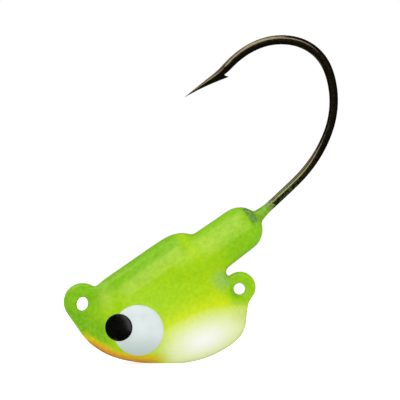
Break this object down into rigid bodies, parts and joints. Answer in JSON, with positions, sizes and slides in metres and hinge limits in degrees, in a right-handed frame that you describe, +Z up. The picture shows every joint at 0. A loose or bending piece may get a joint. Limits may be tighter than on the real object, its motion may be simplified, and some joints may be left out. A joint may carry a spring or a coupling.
{
  "type": "jig head",
  "caption": "Painted lead fishing jig head on a short barbed hook, with a flat line eyelet at the nose and a second eyelet behind.",
  "frame": {"origin": "on the floor under the middle of the part's own box, in the plane of the hook", "axes": "+Z up with the head standing on the flat of its chin, hook uppermost; -X towards the nose and the line eyelet; +Y towards the fish's right-hand eye"},
  "size_m": [0.0274, 0.0066, 0.0328],
  "materials": {
    "head_paint": "gloss green to chartreuse, fading to cream under the rear and orange under the chin",
    "plate_paint": "gloss green",
    "hook_finish": "black nickel with a bronze cast, bright",
    "bead_paint": "gloss green paint",
    "eye_white_paint": "gloss white paint",
    "pupil_paint": "gloss black paint"
  },
  "bodies": {
    "root": {"lead_head": "head_paint", "tie_plate": "plate_paint", "hook": "hook_finish", "shank_paint_bead": "bead_paint", "eye_white_left": "eye_white_paint", "eye_white_right": "eye_white_paint", "pupil_left": "pupil_paint", "pupil_right": "pupil_paint"}
  },
  "joints": []
}
